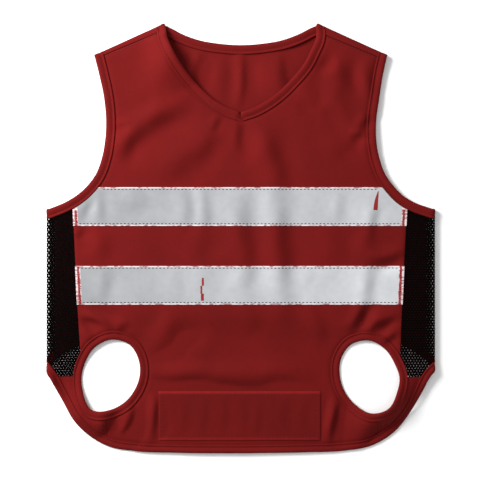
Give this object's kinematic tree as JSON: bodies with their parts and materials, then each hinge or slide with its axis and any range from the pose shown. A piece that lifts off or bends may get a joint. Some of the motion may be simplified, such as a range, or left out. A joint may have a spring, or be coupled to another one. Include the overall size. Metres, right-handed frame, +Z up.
{
  "type": "dog safety vest",
  "caption": "Red cloth safety vest for a dog, laid flat: V neck, armholes, leg openings, net side gussets, bound edges, grey reflective tapes across the front and a plain patch.",
  "frame": {"origin": "centre of the bounding box, on the surface that the vest lies on", "axes": "+Y towards the neck, +X to the right as the vest is seen from above with its neck away, +Z up, out of the front panel"},
  "size_m": [0.2566, 0.2835, 0.0075],
  "materials": {
    "red_cloth": "woven red cloth, matte, lightly creased",
    "red_binding": "red binding strip folded over the edges and stitched, matte",
    "black_net": "black net with holes about 2 mm apart, matte",
    "grey_tape": "grey reflective tape, smooth, slightly glossy, stitched along its edges"
  },
  "bodies": {
    "root": {"front_panel": "red_cloth", "back_panel": "red_cloth", "side_mesh_left": "black_net", "side_mesh_right": "black_net", "hip_piece_left": "red_cloth", "hip_piece_right": "red_cloth", "neck_binding": "red_binding", "armhole_binding_left": "red_binding", "armhole_binding_right": "red_binding", "leg_binding_left": "red_binding", "leg_binding_right": "red_binding", "hem_binding": "red_binding", "tape_upper": "grey_tape", "tape_lower": "grey_tape", "patch": "red_cloth"}
  },
  "joints": []
}
